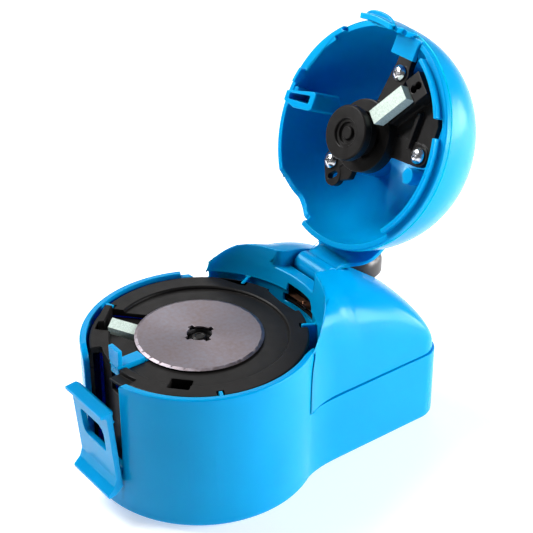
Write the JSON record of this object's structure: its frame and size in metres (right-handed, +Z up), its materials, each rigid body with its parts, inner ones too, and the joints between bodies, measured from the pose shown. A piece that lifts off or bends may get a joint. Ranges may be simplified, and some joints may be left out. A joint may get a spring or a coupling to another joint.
{
  "type": "rotary blade sharpener",
  "caption": "Desktop sharpener for round rotary-cutter blades: drum with magnetic spindle and stone, domed hinged lid with presser and second stone, front latch, humped motor housing.",
  "frame": {"origin": "centre of the box in plan, on the plane the feet stand on, with the lid fully open", "axes": "+Z up along the spindle, -Y towards the latch, +Y towards the lid hinge and the motor housing, +X to the right seen from the latch side"},
  "size_m": [0.0824, 0.1564, 0.1522],
  "materials": {
    "blue_plastic": "moulded, glossy",
    "black_plastic": "moulded, fine matt grain",
    "button_plastic": "satin",
    "stone": "fine-grained abrasive",
    "blade_steel": "ground, with a bright edge",
    "machined_steel": "satin",
    "screw_steel": "bright plated",
    "brass": "plain",
    "magnet": "plain",
    "rubber": "matt",
    "board": "satin"
  },
  "bodies": {
    "housing": {"button_spring": "screw_steel", "circuit_board": "board", "contact_leaf_1": "brass", "contact_leaf_2": "brass", "drive_belt": "rubber", "hinge_pin": "machined_steel", "housing_screw_1": "screw_steel", "housing_screw_2": "screw_steel", "housing_screw_3": "screw_steel", "housing_screw_4": "screw_steel", "interlock_switch": "black_plastic", "latch_pin": "machined_steel", "lever_pin": "machined_steel", "lower_bush": "brass", "lower_housing": "blue_plastic", "lower_stone": "stone", "lower_stone_holder": "black_plastic", "motor_bracket": "machined_steel", "motor_can": "machined_steel", "motor_end_cap": "black_plastic", "platform_screw_1": "screw_steel", "platform_screw_2": "screw_steel", "platform_screw_3": "screw_steel", "power_inlet": "black_plastic", "rear_cover": "blue_plastic", "rubber_foot_1": "rubber", "rubber_foot_2": "rubber", "rubber_foot_3": "rubber", "rubber_foot_4": "rubber", "start_switch": "black_plastic", "upper_bush": "brass", "work_platform": "black_plastic"},
    "spindle": {"spindle_shaft": "machined_steel", "spindle_pulley": "black_plastic", "drive_hub": "black_plastic", "magnet_ring": "magnet"},
    "blade": {"round_blade": "blade_steel"},
    "motor_rotor": {"motor_shaft": "machined_steel", "motor_pulley": "black_plastic"},
    "lid": {"lid_shell": "blue_plastic", "lid_bracket": "black_plastic", "upper_stone": "stone", "lid_screw_1": "screw_steel", "lid_screw_2": "screw_steel", "lid_screw_3": "screw_steel"},
    "presser": {"presser_plunger": "machined_steel"},
    "presser_spinner": {"presser_hub": "black_plastic"},
    "latch": {"latch_clip": "blue_plastic"},
    "lever": {"blade_lift_lever": "blue_plastic"},
    "button": {"start_button": "button_plastic"}
  },
  "joints": [
    {"name": "lid_hinge", "type": "hinge", "parent": "housing", "child": "lid", "pos_m": [0, 0.02134, 0.06], "axis": [1, 0, 0], "range_deg": [0, 113.7]},
    {"name": "presser_slide", "type": "slide", "parent": "lid", "child": "presser", "axis": [0, 0.9157, -0.402], "range_m": [0, 0.0031]},
    {"name": "presser_spin", "type": "hinge", "parent": "presser", "child": "presser_spinner", "pos_m": [0, 0.03307, 0.11109], "axis": [0, 0.9157, -0.402], "continuous": true},
    {"name": "spindle_spin", "type": "hinge", "parent": "housing", "child": "spindle", "pos_m": [0, -0.03016, 0], "axis": [0, 0, 1], "continuous": true},
    {"name": "motor_spin", "type": "hinge", "parent": "housing", "child": "motor_rotor", "pos_m": [0, 0.02434, 0], "axis": [0, 0, 1], "continuous": true},
    {"name": "blade_lift", "type": "slide", "parent": "spindle", "child": "blade", "axis": [0, 0, -1], "range_m": [-0.001, 0]},
    {"name": "lever_tilt", "type": "hinge", "parent": "housing", "child": "lever", "pos_m": [0, -0.05666, 0.049], "axis": [-1, 0, 0], "range_deg": [-6.1, 0]},
    {"name": "latch_swing", "type": "hinge", "parent": "housing", "child": "latch", "pos_m": [0, -0.06776, 0.0158], "axis": [-1, 0, 0], "range_deg": [-14, 5]},
    {"name": "start_press", "type": "slide", "parent": "housing", "child": "button", "axis": [0, 0, -1], "range_m": [0, 0.002], "stiffness_N_per_m": 300, "springref_m": -0.001, "deforming": ["button_spring"]}
  ],
  "couplings": [
    {"joint": "presser_slide", "follows": "lid_hinge", "m_per_rad": 0.00156},
    {"joint": "motor_spin", "follows": "spindle_spin", "ratio": 3.526},
    {"joint": "lever_tilt", "follows": "blade_lift", "rad_per_m": 105.26}
  ]
}
